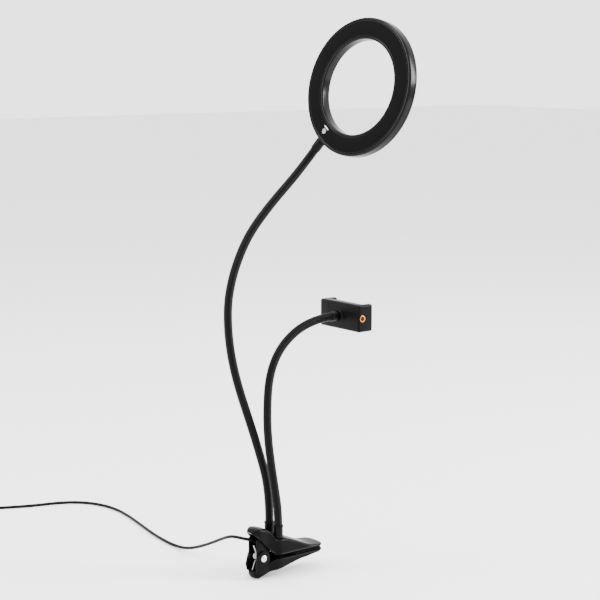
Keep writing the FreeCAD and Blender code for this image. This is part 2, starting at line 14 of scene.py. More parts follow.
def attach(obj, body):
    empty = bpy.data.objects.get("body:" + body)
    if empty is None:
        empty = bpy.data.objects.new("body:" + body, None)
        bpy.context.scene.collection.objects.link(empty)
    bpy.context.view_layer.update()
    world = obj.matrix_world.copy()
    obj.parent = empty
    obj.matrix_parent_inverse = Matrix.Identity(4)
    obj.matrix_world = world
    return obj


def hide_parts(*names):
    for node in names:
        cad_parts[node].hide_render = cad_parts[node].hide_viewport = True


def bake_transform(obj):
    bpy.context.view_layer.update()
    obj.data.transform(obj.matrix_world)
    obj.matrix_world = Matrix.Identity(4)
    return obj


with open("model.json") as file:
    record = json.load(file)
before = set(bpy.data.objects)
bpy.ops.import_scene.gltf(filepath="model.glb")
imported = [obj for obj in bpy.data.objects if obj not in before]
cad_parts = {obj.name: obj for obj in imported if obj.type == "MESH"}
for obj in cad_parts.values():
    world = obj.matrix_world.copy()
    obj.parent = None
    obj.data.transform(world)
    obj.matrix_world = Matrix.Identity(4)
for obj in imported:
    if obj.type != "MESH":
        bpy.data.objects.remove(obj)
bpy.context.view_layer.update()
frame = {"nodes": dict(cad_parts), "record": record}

MM = 0.001
SURFACE_MM = -26.0             # what the clamp and the cord lie on
SURFACE_Z = SURFACE_MM * MM

# Goosenecks
NECK_RADIUS = 5.35
WINDING_PITCH = 2.3
WINDING_DEPTH = 0.75

# Ring head, in its own frame: x to the front, z along the neck that holds it
HEAD_TILT, HEAD_TURN, HEAD_ROLL = (math.radians(a) for a in (11.6, 6.0, 38.5))
RING_OUTER = 84.0
RING_INNER = 58.0
COLLAR_LENGTH = 15.0

# Cord, remote and plug
CORD_DIAMETER = 4.0 * MM
CORD_Z = SURFACE_MM + 2.0
REMOTE_LENGTH, REMOTE_WIDTH, REMOTE_HEIGHT = 62.0, 20.0, 10.0


# ---------------------------------------------------------------- small helpers
def link(obj):
    bpy.context.scene.collection.objects.link(obj)
    return obj


def mesh_object(name, vertices, faces, smooth_angle=35.0):
    """Mesh object with smooth faces and sharp edges above an angle in degrees."""
    mesh = bpy.data.meshes.new(name)
    mesh.from_pydata([tuple(v) for v in vertices], [], [tuple(f) for f in faces])
    mesh.validate()
    mesh.update()
    mesh.shade_smooth()
    mesh.set_sharp_from_angle(angle=math.radians(smooth_angle))
    return link(bpy.data.objects.new(name, mesh))


def dress(obj, material, body, *nodes):
    """Give a piece its material, its body and the CAD nodes that it stands for."""
    obj.data.materials.clear()
    obj.data.materials.append(material)
    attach(obj, body)
    if nodes:
        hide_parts(*nodes)
    return obj


def axes_along(direction, roll_hint=Vector((0, 0, 1))):
    """Matrix whose X axis is a direction."""
    x = Vector(direction).normalized()
    hint = roll_hint if abs(x.dot(roll_hint)) < 0.95 else Vector((0, 1, 0))
    y = hint.cross(x).normalized()
    z = x.cross(y)
    return Matrix((x, y, z)).transposed()


def place_along(origin, direction):
    return Matrix.Translation(Vector(origin)) @ axes_along(direction).to_4x4()


def lathe(name, profile, matrix, segments=64, closed=False):
    """Turn an outline of (distance along, radius) pairs about the matrix's X axis."""
    points = np.array(profile, float)
    angles = np.linspace(0, 2 * math.pi, segments, endpoint=False)
    grid = np.empty((len(points), segments, 3))
    grid[:, :, 0] = points[:, :1]
    grid[:, :, 1] = points[:, 1:] * np.cos(angles)
    grid[:, :, 2] = points[:, 1:] * np.sin(angles)
    rows = len(points)
    faces = []
    for i in range(rows if closed else rows - 1):
        for j in range(segments):
            a, b = i * segments, ((i + 1) % rows) * segments
            k = (j + 1) % segments
            faces.append((a + j, a + k, b + k, b + j))
    vertices = list(grid.reshape(-1, 3))
    if not closed:
        for row, order in ((0, 1), (rows - 1, -1)):
            if points[row, 1] > 1e-7:
                faces.append([row * segments + j for j in range(segments)][::order])
    obj = mesh_object(name, vertices, faces)
    tidy_mesh(obj)
    obj.data.transform(matrix)
    return obj


def tidy_mesh(obj, distance=1e-7):
    """Weld doubled points and turn all faces outwards."""
    work = bmesh.new()
    work.from_mesh(obj.data)
    bmesh.ops.remove_doubles(work, verts=work.verts, dist=distance)
    bmesh.ops.recalc_face_normals(work, faces=work.faces)
    work.to_mesh(obj.data)
    work.free()


def rounded(points, radius, steps=4):
    """Round the corners of an open or closed outline of 2-D points with arcs."""
    result = [points[0]]
    for before, corner, after in zip(points, points[1:], points[2:]):
        before, corner, after = (Vector(p) for p in (before, corner, after))
        into, out = (corner - before), (after - corner)
        reach = min(radius, 0.45 * into.length, 0.45 * out.length)
        start, end = corner - into.normalized() * reach, corner + out.normalized() * reach
        for k in range(steps + 1):
            t = k / steps
            result.append(tuple(start * (1 - t) ** 2 + corner * 2 * t * (1 - t) + end * t ** 2))
    result.append(points[-1])
    return result


def applied(obj):
    """Replace an object's mesh by the result of its modifiers."""
    bpy.context.view_layer.update()
    graph = bpy.context.evaluated_depsgraph_get()
    mesh = bpy.data.meshes.new_from_object(obj.evaluated_get(graph))
    obj.modifiers.clear()
    obj.data = mesh
    return obj


def softened(node, name, width, segments=3, angle=28.0):
    """A finished piece from a CAD solid: its flat faces made whole and its edges rounded."""
    source = frame["nodes"][node]
    obj = link(bpy.data.objects.new(name, source.data.copy()))
    obj.data.transform(source.matrix_world)
    work = bmesh.new()
    work.from_mesh(obj.data)
    bmesh.ops.remove_doubles(work, verts=work.verts, dist=1e-6)
    bmesh.ops.dissolve_limit(work, angle_limit=math.radians(1.5), verts=work.verts, edges=work.edges)
    work.to_mesh(obj.data)
    work.free()
    bevel = obj.modifiers.new("Edges", "BEVEL")
    bevel.width = width
    bevel.segments = segments
    bevel.limit_method = "ANGLE"
    bevel.angle_limit = math.radians(angle)
    bevel.use_clamp_overlap = True
    applied(obj)
    obj.data.shade_smooth()
    obj.data.set_sharp_from_angle(angle=math.radians(32))
    return obj


# ---------------------------------------------------------------- materials
def new_material(name):
    material = bpy.data.materials.new(name)
    material.use_nodes = True
    nodes, links = material.node_tree.nodes, material.node_tree.links
    return material, nodes, links, nodes["Principled BSDF"]


def textured(name, colour, rough, grain=0.0, grain_size=0.4, wear=0.3, metallic=0.0, mottle=0.25,
             specular=0.5):
    """Procedural finish: broad tone and gloss changes, with a fine grain in the surface."""
    material, nodes, links, shader = new_material(name)
    place = nodes.new("ShaderNodeTexCoord")
    broad = nodes.new("ShaderNodeTexNoise")
    broad.inputs["Scale"].default_value = 45.0
    broad.inputs["Detail"].default_value = 5.0
    links.new(place.outputs["Object"], broad.inputs["Vector"])
    tone = nodes.new("ShaderNodeValToRGB")
    tone.color_ramp.elements[0].position = 0.3
    tone.color_ramp.elements[1].position = 0.75
    tone.color_ramp.elements[0].color = (*(c * (1 - mottle) for c in colour), 1)
    tone.color_ramp.elements[1].color = (*(min(1.0, c * (1 + mottle)) for c in colour), 1)
    links.new(broad.outputs["Fac"], tone.inputs["Fac"])
    links.new(tone.outputs["Color"], shader.inputs["Base Color"])
    gloss = nodes.new("ShaderNodeMapRange")
    gloss.inputs["To Min"].default_value = rough * (1 - wear * 0.5)
    gloss.inputs["To Max"].default_value = rough * (1 + wear * 0.5)
    links.new(broad.outputs["Fac"], gloss.inputs["Value"])
    links.new(gloss.outputs["Result"], shader.inputs["Roughness"])
    shader.inputs["Metallic"].default_value = metallic
    shader.inputs["Specular IOR Level"].default_value = specular
    if grain:
        fine = nodes.new("ShaderNodeTexNoise")
        fine.inputs["Scale"].default_value = 1.0 / (grain_size * MM)
        fine.inputs["Detail"].default_value = 2.0
        links.new(place.outputs["Object"], fine.inputs["Vector"])
        bump = nodes.new("ShaderNodeBump")
        bump.inputs["Strength"].default_value = grain
        bump.inputs["Distance"].default_value = 0.1 * MM
        links.new(fine.outputs["Fac"], bump.inputs["Height"])
        links.new(bump.outputs["Normal"], shader.inputs["Normal"])
    return material


MATERIALS = {
    "neck": textured("neck_lacquer", (0.0016, 0.0016, 0.0018), 0.36, 0.12, 0.3, specular=0.06),
    "ferrule": textured("ferrule_black", (0.0016, 0.0016, 0.0018), 0.26, 0.08, 0.25, specular=0.06),
    "back": textured("ring_back_texture", (0.0022, 0.0022, 0.0024), 0.6, 0.8, 0.6, specular=0.02),
    "rim": textured("ring_rim_satin", (0.0014, 0.0014, 0.0015), 0.2, 0.04, 0.3, specular=0.09),
    "clamp": textured("clamp_plastic", (0.0014, 0.0014, 0.0016), 0.32, 0.2, 0.5, specular=0.05),
    "holder": textured("holder_plastic", (0.0018, 0.0018, 0.002), 0.34, 0.25, 0.45, specular=0.05),
    "rubber": textured("pad_rubber", (0.004, 0.004, 0.004), 0.7, 0.5, 0.35, specular=0.05),
    "cord": textured("cord_jacket", (0.002, 0.002, 0.0022), 0.4, 0.2, 0.5, specular=0.06),
    "remote": textured("remote_plastic", (0.0022, 0.0022, 0.0024), 0.4, 0.5, 0.4, specular=0.06),
    "button": textured("button_rubber", (0.05, 0.051, 0.053), 0.55, 0.3, 0.4, specular=0.3),
    "steel": textured("polished_steel", (0.62, 0.62, 0.63), 0.16, 0.05, metallic=1.0, mottle=0.06),
    "zinc": textured("zinc_plate", (0.3, 0.3, 0.31), 0.33, 0.2, metallic=1.0, mottle=0.12),
    "brass": textured("turned_brass", (0.5, 0.19, 0.045), 0.26, 0.1, metallic=1.0, mottle=0.12),
    # Darker copy of the turned brass: painted shade for the inside of the tripod thread, not a real patina
    "brass_painted_shade": textured("brass_painted_shade", (0.09, 0.04, 0.012), 0.4, 0.2, metallic=1.0, mottle=0.2),
    "opal": textured("opal_diffuser", (0.86, 0.86, 0.84), 0.42, 0.08, mottle=0.02),
    "board": textured("white_board", (0.72, 0.74, 0.7), 0.4, mottle=0.05),
    "phosphor": textured("led_phosphor", (0.85, 0.68, 0.16), 0.3, mottle=0.08),
    "print": textured("white_print", (0.8, 0.8, 0.8), 0.5, mottle=0.05),
}


# ---------------------------------------------------------------- camera, floor and light
def camera():
    """The viewing angle: from behind the light and to its right, looking a little down."""
    eye = Vector((-1.16451, -1.50410, 0.61514))
    azimuth, pitch = math.radians(38.0), math.radians(9.0)
    ahead = Vector((math.sin(azimuth) * math.cos(pitch), math.cos(azimuth) * math.cos(pitch),
                    -math.sin(pitch)))
    right = Vector((math.cos(azimuth), -math.sin(azimuth), 0))
    up = right.cross(ahead)
    data = bpy.data.cameras.new("Camera")
    data.sensor_width = 36.0
    data.lens = 94.8
    data.clip_end = 60.0
    obj = link(bpy.data.objects.new("Camera", data))
    obj.matrix_world = Matrix.Translation(eye) @ Matrix((right, up, -ahead)).transposed().to_4x4()
    bpy.context.scene.camera = obj


def area_light(name, place, target, size, power, colour=(1, 1, 1)):
    data = bpy.data.lights.new(name, "AREA")
    data.shape = "RECTANGLE"
    data.size, data.size_y = size
    data.energy = power
    data.color = colour
    obj = link(bpy.data.objects.new(name, data))
    ahead = (Vector(target) - Vector(place)).normalized()
    turn = ahead.to_track_quat("-Z", "Y").to_matrix().to_4x4()
    obj.matrix_world = Matrix.Translation(Vector(place)) @ turn


def studio():
    world = bpy.data.worlds.new("Studio")
    world.use_nodes = True
    world.node_tree.nodes["Background"].inputs["Color"].default_value = (1.0, 1.0, 1.0, 1)
    world.node_tree.nodes["Background"].inputs["Strength"].default_value = 2.9
    bpy.context.scene.world = world
    half = 12.0
    floor = mesh_object("Floor", [(-half, -half, 0), (half, -half, 0), (half, half, 0), (-half, half, 0)],
                        [(0, 1, 2, 3)])
    floor.location.z = SURFACE_Z - 0.0002
    material, nodes, links, shader = new_material("floor_white")
    shader.inputs["Base Color"].default_value = (0.78, 0.78, 0.78, 1)
    shader.inputs["Roughness"].default_value = 0.6
    floor.data.materials.append(material)
    middle = (0.0, 0.0, 0.3)
    area_light("Key", (1.9, -1.6, 1.5), middle, (0.8, 1.5), 190.0)
    area_light("Fill", (-1.8, 0.9, 1.6), middle, (0.7, 1.6), 70.0)
    area_light("Top", (0.2, 0.2, 2.6), middle, (1.4, 1.4), 60.0)


# ---------------------------------------------------------------- cord
CORD_ROUTE = [(-49.6, 3.2, 16.4), (-58.4, 3.2, 20.3), (-66.8, 6.0, 22.8), (-73, 13.8, 24.2),
              (-75.4, 25, 23.6), (-75, 37, 19.6), (-72.6, 53, 12.6), (-70.8, 72, 3.6),
              (-69.6, 92, -5.4), (-69.2, 112, -13.6),
              (-69.8, 131, -19.8), (-69.4, 150, -23.4), (-70.2, 174, CORD_Z), (-66, 216, CORD_Z),
              (-56.4, 264, CORD_Z), (-47, 312, CORD_Z), (-43, 352, CORD_Z), (-49, 387, CORD_Z),
              (-66, 414, CORD_Z), (-92, 430, CORD_Z), (-124, 438, CORD_Z), (-160, 453, CORD_Z),
              (-190, 470, CORD_Z)]
TAIL_ROUTE = [(0, 0), (14, 1.5), (30, 6), (46, 15), (58, 28)]
PLUG_RUN = [(0, 0, 4.1), (-16, 0.6, 3.6), (-32, -2.4, 1.2), (-47, -8, 0)]
COIL_OUTER_TURN = 26.4
TURN_POINTS = 14


def heading(points):
    return math.atan2(points[-1][1] - points[-2][1], points[-1][0] - points[-2][0])


def in_plan(local, origin, turn):
    """Points in a plan frame at an origin, turned by an angle; a third value is a height above the cord."""
    return [(origin[0] + p[0] * math.cos(turn) - p[1] * math.sin(turn),
             origin[1] + p[0] * math.sin(turn) + p[1] * math.cos(turn),
             CORD_Z + (p[2] if len(p) > 2 else 0.0)) for p in local]


def coil_points(middle, start_angle, last_angle):
    """Turns of the coil in its plan frame: inwards on the surface, then outwards on top."""
    steps = [(COIL_OUTER_TURN, 0.0), (22.1, 0.0), (17.8, 0.0), (13.6, 0.2),
             (15.7, 4.0), (19.9, 4.1), (24.0, 4.1)]
    total = len(steps) - 1 + ((last_angle - start_angle) % (2 * math.pi)) / (2 * math.pi)
    count = int(total * TURN_POINTS)
    points = []
    for k in range(1, count):
        turns = total * k / count
        i = min(int(turns), len(steps) - 2)
        t = min(turns - i, 1.0)
        radius = steps[i][0] * (1 - t) + steps[i + 1][0] * t
        height = steps[i][1] * (1 - t) + steps[i + 1][1] * t
        angle = start_angle + turns * 2 * math.pi
        points.append((middle[0] + radius * math.cos(angle), middle[1] + radius * math.sin(angle), height))
    return points


def cord():
    turn = heading(CORD_ROUTE)
    outlet = in_plan([(REMOTE_LENGTH, 0)], CORD_ROUTE[-1], turn)[0]
    tail_turn = heading(TAIL_ROUTE)
    middle = (TAIL_ROUTE[-1][0] - COIL_OUTER_TURN * math.sin(tail_turn),
              TAIL_ROUTE[-1][1] + COIL_OUTER_TURN * math.cos(tail_turn))
    coil = coil_points(middle, tail_turn - math.pi / 2, math.pi / 2)
    run = [(middle[0] + u, middle[1] + COIL_OUTER_TURN - 2.4 + v, h) for u, v, h in PLUG_RUN]
    inside = in_plan([(20, 0), (42, 0)], CORD_ROUTE[-1], turn)
    points = CORD_ROUTE + inside + in_plan(TAIL_ROUTE + coil + run, outlet, turn)
    data = bpy.data.curves.new("usb_cord_visual", "CURVE")
    data.dimensions = "3D"
    data.bevel_depth = CORD_DIAMETER / 2
    data.bevel_resolution = 5
    data.resolution_u = 10
    data.use_fill_caps = True
    spline = data.splines.new("NURBS")
    spline.points.add(len(points) - 1)
    for point, place in zip(spline.points, points):
        point.co = (place[0] * MM, place[1] * MM, place[2] * MM, 1)
    spline.order_u = 3
    spline.use_endpoint_u = True
    obj = dress(link(bpy.data.objects.new("usb_cord_visual", data)), MATERIALS["cord"], "root",
                "usb_cord", "usb_cord_tail", "usb_cord_coil", "usb_cord_end")


# ---------------------------------------------------------------- goosenecks
PLATFORM_Z = 22.5
FERRULE_TOP = 38.0
LONG_FOOT = (-29.6, 10.4)
SHORT_FOOT = (-30.6, -9.0)
LONG_ROUTE = [(-29.6, 10.4, 28), (-29.7, 10.2, 45), (-31.0, 9.6, 63), (-35.0, 8.8, 90), (-44.0, 8.2, 121),
              (-59.9, 8, 167), (-75.7, 8, 211), (-87.6, 8, 256), (-91.8, 8, 293), (-90.3, 9, 319),
              (-82.8, 11, 346), (-69, 15, 372), (-49.1, 21, 396.5), (-24.3, 27, 418.5),
              (1.5, 31, 439.5), (25, 30, 461)]
SHORT_ROUTE = [(-30.6, -9.0, 28), (-30.8, -9.0, 50), (-35.0, -8.6, 83.5), (-42.6, -8, 132),
               (-45.5, -8, 162), (-45.5, -8, 192), (-42.4, -8, 221), (-36.4, -8, 239.5),
               (-26.2, -8, 256), (-11.3, -8, 270),
               (7.8, -8, 280.6), (30.4, -8, 286.8), (52, -8, 289), (60, -8, 289)]
NECK_SEGMENTS = 30
RIB_STEPS = 7                  # rings of points to each turn of the winding


def spline_through(points, start_way, end_way):
    """Dense points of the smooth curve through given points, leaving and arriving along given ways."""
    p = np.array(points, float)
    gaps = np.linalg.norm(np.diff(p, axis=0), axis=1)
    count = len(p)
    matrix, right = np.zeros((count, count)), np.zeros((count, 3))
    matrix[0, 0] = matrix[-1, -1] = 1.0
    right[0], right[-1] = start_way, end_way
    for i in range(1, count - 1):
        a, b = gaps[i - 1], gaps[i]
        matrix[i, i - 1:i + 2] = b, 2 * (a + b), a
        right[i] = 3 * (b / a * (p[i] - p[i - 1]) + a / b * (p[i + 1] - p[i]))
    ways = np.linalg.solve(matrix, right)
    pieces = []
    for i in range(count - 1):
        t = np.linspace(0, 1, 60, endpoint=i == count - 2)[:, None]
        h = gaps[i]
        pieces.append(p[i] * (2 * t ** 3 - 3 * t ** 2 + 1) + ways[i] * h * (t ** 3 - 2 * t ** 2 + t)
                      + p[i + 1] * (3 * t ** 2 - 2 * t ** 3) + ways[i + 1] * h * (t ** 3 - t ** 2))
    return np.concatenate(pieces)


def even_steps(points, step):
    """Points at equal distances along a line of points, and the line's length."""
    lengths = np.concatenate([[0.0], np.cumsum(np.linalg.norm(np.diff(points, axis=0), axis=1))])
    count = int(round(lengths[-1] / step)) + 1
    wanted = np.linspace(0, lengths[-1], count)
    return np.stack([np.interp(wanted, lengths, points[:, k]) for k in range(3)], axis=1), lengths[-1]


def carried_frames(points):
    """Tangent, normal and binormal at every point, carried along without twist."""
    tangents = np.gradient(points, axis=0)
    tangents /= np.linalg.norm(tangents, axis=1)[:, None]
    normals = np.empty_like(points)
    first = np.cross(tangents[0], (0.0, 1.0, 0.0) if abs(tangents[0, 1]) < 0.9 else (1.0, 0.0, 0.0))
    normals[0] = first / np.linalg.norm(first)
    for k in range(1, len(points)):
        carried = normals[k - 1] - tangents[k] * normals[k - 1].dot(tangents[k])
        normals[k] = carried / np.linalg.norm(carried)
    return tangents, normals, np.cross(tangents, normals)


def tube_mesh(name, points, radii, frames=None):
    """Closed tube round a line of points in mm; radii has a radius for every point and segment."""
    _, normals, sides = frames or carried_frames(points)
    radii = np.asarray(radii, float)
    segments = radii.shape[1]
    angles = np.linspace(0, 2 * math.pi, segments, endpoint=False)
    across, aside = np.cos(angles)[None, :, None], np.sin(angles)[None, :, None]
    ring = normals[:, None, :] * across + sides[:, None, :] * aside
    grid = (points[:, None, :] + ring * radii[:, :, None]) * MM
    rows = len(points)
    index = np.arange(rows * segments).reshape(rows, segments)
    turned = np.roll(index, -1, axis=1)
    faces = np.stack([index[:-1], turned[:-1], turned[1:], index[1:]], axis=-1).reshape(-1, 4).tolist()
    faces += [index[0][::-1].tolist(), index[-1].tolist()]
    return mesh_object(name, grid.reshape(-1, 3), faces, smooth_angle=60)


def wire(name, points, radius, segments=12):
    points = np.array(points, float)
    return tube_mesh(name, points, np.full((len(points), segments), radius))


def gooseneck(name, route, end_way, first_joint, last_gap, bodies):
    """Wound neck in one piece per joint, each piece reaching halfway to the joints on either side."""
    line, length = even_steps(spline_through(route, (0, 0, 1), end_way), WINDING_PITCH / RIB_STEPS)
    frames = carried_frames(line)
    along = np.linspace(0, length, len(line))
    count = len(bodies) - 1
    joints = [first_joint + (length - last_gap - first_joint) * k / (count - 1) for k in range(count)]
    ends = [0.0] + [(a + b) / 2 for a, b in zip(joints, joints[1:])] + [length]
    angles = np.linspace(0, 1, NECK_SEGMENTS, endpoint=False)
    ridge = np.abs(np.sin(math.pi * (along[:, None] / WINDING_PITCH - angles[None, :]))) ** 0.6
    radii = NECK_RADIUS - WINDING_DEPTH * (1 - ridge)

    def at(distance):
        k = int(np.clip(round(distance / length * (len(line) - 1)), 0, len(line) - 1))
        return k, line[k] * MM

    for k, joint in enumerate(joints):
        low, high = at(ends[k])[0], at(ends[k + 1])[0] + 1
        part = slice(low, high)
        piece = tube_mesh(f"{name}_neck_winding_{k}", line[part], radii[part],
                          tuple(axis[part] for axis in frames))
        piece.data.materials.append(MATERIALS["neck"])
        links = [f"{name}_neck_link_{k}"] + ([f"{name}_neck_link_{k + 1}"] if k == count - 1 else [])
        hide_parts(*links)
        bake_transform(piece)


def ferrule(name, foot):
    base, top = PLATFORM_Z, FERRULE_TOP
    profile = [(base - 5.9, 3.6), (base - 0.05, 3.6), (base, 6.2), (base + 0.35, 6.6), (base + 1.3, 6.65),
               (base + 1.9, 6.45), (base + 2.2, 6.1), (base + 2.6, 6.0), (top - 2.9, 6.0), (top - 2.6, 6.3),
               (top - 2.2, 6.55), (top - 0.8, 6.6), (top - 0.25, 6.35), (top, 5.8), (top - 0.3, 5.2),
               (top - 3.0, 5.1)]
    spot = place_along((foot[0] * MM, foot[1] * MM, 0), (0, 0, 1))
    piece = lathe(name + "_ferrule_turned", scaled(profile), spot, 48)
    dress(piece, MATERIALS["ferrule"], "root", name + "_base_ferrule")


def scaled(profile):
    return [(a * MM, r * MM) for a, r in profile]


def necks():
    up = head_frame().col[2].to_3d()
    ring_end = Vector(HEAD_CENTRE) - up * (RING_OUTER + COLLAR_LENGTH - 8.0)
    gooseneck("long", LONG_ROUTE + [tuple(ring_end)], up, 34.0, 48.0,
              ["root"] + [f"long_neck_{k}" for k in range(1, 8)] + ["ring_head"])
    gooseneck("short", SHORT_ROUTE, (1, 0, 0), 34.0, 41.0,
              ["root"] + [f"short_neck_{k}" for k in range(1, 5)] + ["phone_holder"])
    ferrule("long", LONG_FOOT)
    ferrule("short", SHORT_FOOT)


# ---------------------------------------------------------------- ring head
HEAD_CENTRE = (69.7, -42.3, 570.3)
RING_BACK, RING_FRONT = -6.25, 6.25
MARK_AT = (0.5, -71.0)         # on the back face, beside the neck's end


def head_frame():
    """Ring's placement in mm: X to its front, Z along the neck that holds it."""
    front = Vector((math.cos(HEAD_TILT) * math.cos(HEAD_TURN), math.cos(HEAD_TILT) * math.sin(HEAD_TURN),
                    -math.sin(HEAD_TILT)))
    level = Vector((math.sin(HEAD_TURN), -math.cos(HEAD_TURN), 0))
    rise = front.cross(level)
    rise = rise if rise.z > 0 else -rise
    up = rise * math.cos(HEAD_ROLL) + level * math.sin(HEAD_ROLL)
    side = up.cross(front)
    return Matrix.Translation(HEAD_CENTRE) @ Matrix((front, side, up)).transposed().to_4x4()


def head_matrix():
    placed = head_frame()
    placed.translation *= MM
    return placed


def quarter(centre, radius, start, end, steps=6):
    """Arc of an outline, angles in degrees from the outline's first axis."""
    angles = np.radians(np.linspace(start, end, steps + 1))
    return [(centre[0] + radius * math.cos(a), centre[1] + radius * math.sin(a)) for a in angles]


def ring_head():
    back, front, outer, inner = RING_BACK, RING_FRONT, RING_OUTER, RING_INNER
    place = head_matrix()
    housing = [(back + 1.3, outer - 3.2), (back + 1.1, outer - 2.7), (back + 0.35, outer - 2.55)]
    housing += quarter((back + 2.5, outer - 2.3), 2.3, 190, 90)
    housing += [(front - 3.3, outer), (front - 3.2, outer - 0.25), (front - 2.9, outer - 0.25),
                (front - 2.8, outer)]
    housing += quarter((front - 0.7, outer - 0.7), 0.7, 90, 0, 3)
    housing += [(front, outer - 1.5), (front - 0.3, outer - 2.0), (front - 1.9, outer - 2.0),
                (front - 1.9, inner + 2.0), (front - 0.3, inner + 2.0), (front, inner + 1.5)]
    housing += quarter((front - 0.7, inner + 0.7), 0.7, 0, -90, 3)
    housing += [(back + 2.4, inner)] + quarter((back + 2.0, inner + 1.8), 1.8, -90, -190)
    housing += [(back + 1.1, inner + 2.2), (back + 1.3, inner + 2.7)]
    piece = lathe("ring_housing_moulded", scaled(housing), place, 200, closed=True)
    dress(piece, MATERIALS["rim"], "ring_head", "ring_rear_housing")

    panel = [(back + 0.05, outer - 4.3), (back, outer - 4.5), (back, inner + 3.8),
             (back + 0.05, inner + 3.6), (back + 1.35, inner + 3.6), (back + 1.35, outer - 4.3)]
    dress(lathe("ring_back_panel", scaled(panel), place, 200, closed=True), MATERIALS["back"], "ring_head")
    for name, edge, way in (("outer", outer - 3.4, -1), ("inner", inner + 2.9, 1)):
        trim = [(back + 1.35, edge), (back + 0.55, edge), (back + 0.35, edge + 0.1 * way),
                (back - 0.02, edge + 0.65 * way), (back - 0.04, edge + 0.85 * way),
                (back + 0.02, edge + 1.0 * way), (back + 1.35, edge + 1.0 * way)]
        trim_ring = lathe(f"ring_panel_{name}_edge", scaled(trim), place, 200, closed=True)
        dress(trim_ring, MATERIALS["rim"], "ring_head")

    mid, reach = (outer + inner) / 2, (outer - inner) / 2 - 2.3
    crown = [(front - 0.25 - 0.75 * abs(u) ** 3.0 - (0.5 if abs(u) > 0.99 else 0.0), mid + u * reach)
             for u in np.linspace(-1, 1, 15)]
    diffuser = [(front - 1.95, mid - reach)] + crown + [(front - 1.95, mid + reach)]
    dress(lathe("ring_diffuser_opal", scaled(diffuser), place, 200, closed=True), MATERIALS["opal"],
          "ring_head", "ring_diffuser")

    collar = [(outer - 6.0, 2.9), (outer - 1.0, 2.9), (outer - 0.9, 5.7), (outer + 0.5, 5.75),
              (outer + 0.8, 5.5), (outer + 1.4, 5.5), (outer + 1.7, 5.95), (outer + 2.2, 6.0),
              (outer + 13.6, 6.0), (outer + 14.4, 5.9), (outer + 14.9, 5.6), (outer + 15.0, 5.2),
              (outer + 12.0, 5.1)]
    along = place.to_3x3() @ Vector((0, 0, -1))
    dress(lathe("ring_collar_turned", scaled(collar), place_along(place.translation, along), 48),
          MATERIALS["ferrule"], "ring_head", "ring_collar")
    generic_mark(place)


def generic_mark(place):
    """Small printed lamp sign in place of a name: a ring with short rays, and a bar beside it."""
    middle = Vector((RING_BACK - 0.03, MARK_AT[0], MARK_AT[1]))
    work = bmesh.new()

    def patch(corners):
        work.faces.new([work.verts.new(place @ ((middle + Vector((0, u, w))) * MM)) for u, w in corners])

    count = 24
    for k in range(count):
        a, b = 2 * math.pi * k / count, 2 * math.pi * (k + 1) / count
        patch([(1.3 * math.cos(a), 1.3 * math.sin(a)), (1.8 * math.cos(a), 1.8 * math.sin(a)),
               (1.8 * math.cos(b), 1.8 * math.sin(b)), (1.3 * math.cos(b), 1.3 * math.sin(b))])
    for k in range(8):
        a = 2 * math.pi * k / 8
        way, across = (math.cos(a), math.sin(a)), (-math.sin(a) * 0.25, math.cos(a) * 0.25)
        patch([(way[0] * r + across[0] * s, way[1] * r + across[1] * s)
               for r, s in ((2.3, -1), (3.4, -1), (3.4, 1), (2.3, 1))])
    patch([(-4.2, 4.9), (4.2, 4.9), (4.2, 5.9), (-4.2, 5.9)])
    mesh = bpy.data.meshes.new("generic_mark")
    work.to_mesh(mesh)
    work.free()
    dress(link(bpy.data.objects.new("generic_mark", mesh)), MATERIALS["print"], "ring_head")


# ---------------------------------------------------------------- moulded blocks
def extruded(name, outline, low, high):
    """Straight solid on an (x, y) outline in mm, from one height to another."""
    count = len(outline)
    vertices = [(x * MM, y * MM, z * MM) for z in (low, high) for x, y in outline]
    faces = [list(range(count))[::-1], list(range(count, 2 * count))]
    faces += [(i, (i + 1) % count, count + (i + 1) % count, count + i) for i in range(count)]
    obj = mesh_object(name, vertices, faces)
    tidy_mesh(obj)
    return obj


def round_edges(obj, radius, segments=4, pick=None, least_angle=40.0):
    """Round the edges sharper than an angle; pick chooses among them by their middle point in mm."""
    work = bmesh.new()
    work.from_mesh(obj.data)
    least = math.radians(least_angle)
    edges = [e for e in work.edges if len(e.link_faces) == 2 and e.calc_face_angle(0) > least]
    if pick:
        edges = [e for e in edges if pick((e.verts[0].co + e.verts[1].co) / 2 / MM)]
    bmesh.ops.bevel(work, geom=edges, offset=radius * MM, segments=segments, profile=0.5, affect="EDGES",
                    clamp_overlap=True)
    work.to_mesh(obj.data)
    work.free()
    obj.data.shade_smooth()
    obj.data.set_sharp_from_angle(angle=math.radians(35))
    return obj


def block(name, x0, x1, y0, y1, z0, z1, radius, segments=4):
    return round_edges(extruded(name, [(x0, y0), (x1, y0), (x1, y1), (x0, y1)], z0, z1), radius, segments)


def carve(obj, *cutters):
    """Cut other solids out of a piece."""
    for cutter in cutters:
        hole = obj.modifiers.new("Cut", "BOOLEAN")
        hole.operation = "DIFFERENCE"
        hole.solver = "EXACT"
        hole.object = cutter
        applied(obj)
        bpy.data.objects.remove(cutter)
    obj.data.shade_smooth()
    obj.data.set_sharp_from_angle(angle=math.radians(35))
    return obj


def cylinder(name, radius, start, end, segments=40):
    start, end = Vector(start) * MM, Vector(end) * MM
    profile = [(0, radius * MM), ((end - start).length, radius * MM)]
    return lathe(name, profile, place_along(start, end - start), segments)


# ---------------------------------------------------------------- phone holder
HOLDER_Y, HOLDER_Z = (-46.0, 30.0), (272.0, 306.0)
HOLDER_X = (66.0, 79.0)
HOLDER_REACH = 88.7
JAW_THICK = 8.3
SPLIT_Y = 12.0
INSERT_X, HOLDER_MID_Z = 72.4, 289.0


